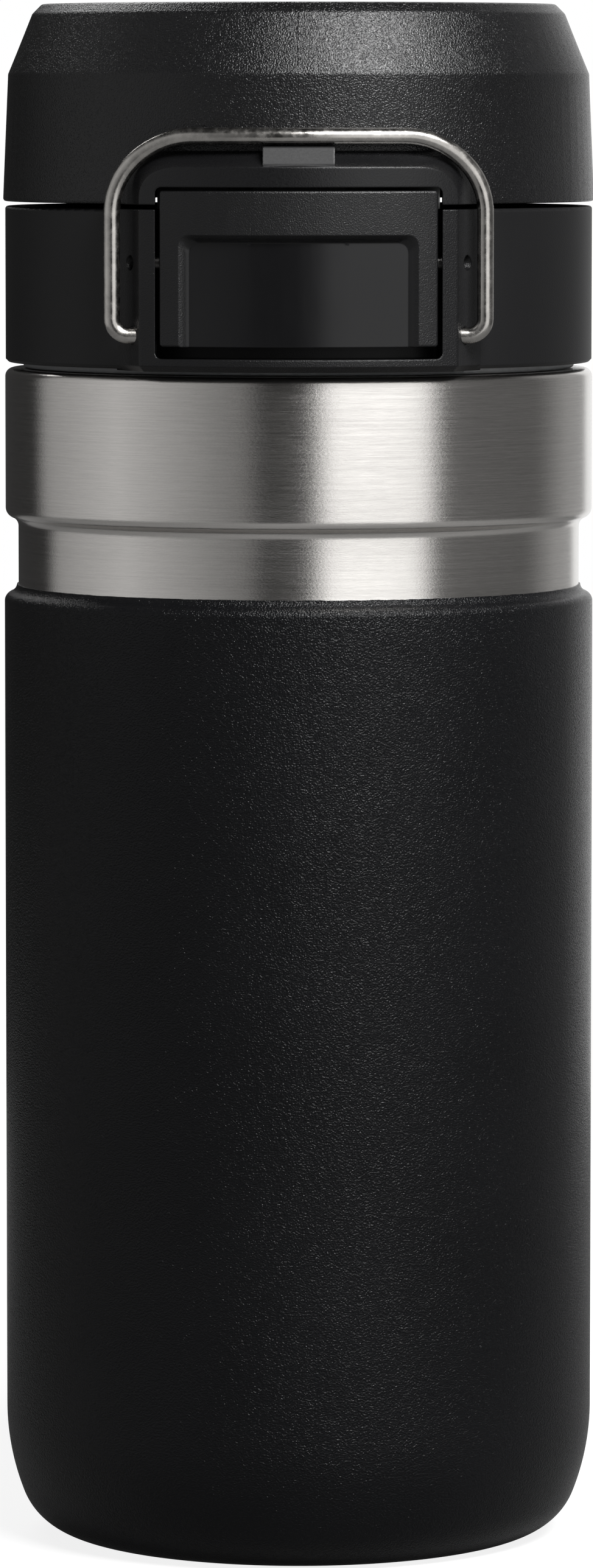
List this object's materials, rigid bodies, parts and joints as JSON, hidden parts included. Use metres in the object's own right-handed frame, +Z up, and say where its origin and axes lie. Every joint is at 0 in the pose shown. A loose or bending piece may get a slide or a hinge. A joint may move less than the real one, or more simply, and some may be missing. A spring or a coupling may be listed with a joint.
{
  "type": "insulated travel mug",
  "caption": "Tall double-walled bottle with a coated body, bare neck band and screw-on flip lid with push button and wire lock.",
  "frame": {"origin": "on the bottle's axis, in the plane of the ring that it stands on", "axes": "+Z up along the bottle, -Y to the front where the button is, +X to the user's right as they face it"},
  "size_m": [0.0731, 0.0784, 0.1902],
  "materials": {
    "steel_shell": "fine brushing round the body",
    "steel_base": "pressed, lightly brushed",
    "steel_liner": "electropolished satin",
    "powder_coat": "black powder coat with a fine texture",
    "glass_bead": "fused",
    "base_cover": "spun",
    "getter_strap": "plain",
    "getter_pill": "sintered, dull",
    "silicone": "satin silicone",
    "core_plastic": "smooth moulded",
    "collar_plastic": "fine matte moulding",
    "button_plastic": "fine texture with a satin thumb hollow",
    "lid_plastic": "coarse sparkling texture",
    "steel_pins": "ground",
    "spring_wire": "drawn wire",
    "bail_wire": "drawn stainless wire, bright"
  },
  "bodies": {
    "bottle": {"outer_shell": "steel_shell", "base_cup": "steel_base", "powder_coat": "powder_coat", "inner_liner": "steel_liner", "vacuum_seal": "glass_bead", "base_disc": "base_cover", "getter_clip": "getter_strap", "getter": "getter_pill"},
    "neck_gasket": {"neck_gasket": "silicone"},
    "collar": {"threaded_core": "core_plastic", "drinking_spout": "core_plastic", "collar_shell": "collar_plastic", "button_pin": "steel_pins", "hinge_pin": "steel_pins", "hinge_spring": "spring_wire", "button_spring": "spring_wire"},
    "button": {"button": "button_plastic"},
    "flip_lid": {"lid_shell": "lid_plastic", "lid_liner": "core_plastic", "lid_seal": "silicone"},
    "lock_bail": {"lock_bail": "bail_wire"}
  },
  "joints": [
    {"name": "lid_rise", "type": "slide", "parent": "bottle", "child": "neck_gasket", "axis": [0, 0, 1], "range_m": [0, 0.00801]},
    {"name": "lid_turn", "type": "hinge", "parent": "neck_gasket", "child": "collar", "pos_m": [0, 0, 0.1458], "axis": [0, 0, 1], "range_deg": [0, 360]},
    {"name": "button_press", "type": "hinge", "parent": "collar", "child": "button", "pos_m": [0, -0.0318, 0.159], "axis": [1, 0, 0], "range_deg": [0, 9], "stiffness_Nm_per_rad": 0.06, "deforming": ["button_spring"]},
    {"name": "lid_hinge", "type": "hinge", "parent": "collar", "child": "flip_lid", "pos_m": [0, 0.0366, 0.1653], "axis": [-1, 0, 0], "range_deg": [0, 115]},
    {"name": "bail_swing", "type": "hinge", "parent": "collar", "child": "lock_bail", "pos_m": [0, -0.0324, 0.1503], "axis": [1, 0, 0], "range_deg": [0, 155]}
  ],
  "couplings": [
    {"joint": "lid_rise", "follows": "lid_turn", "m_per_rad": 0.0012732}
  ]
}
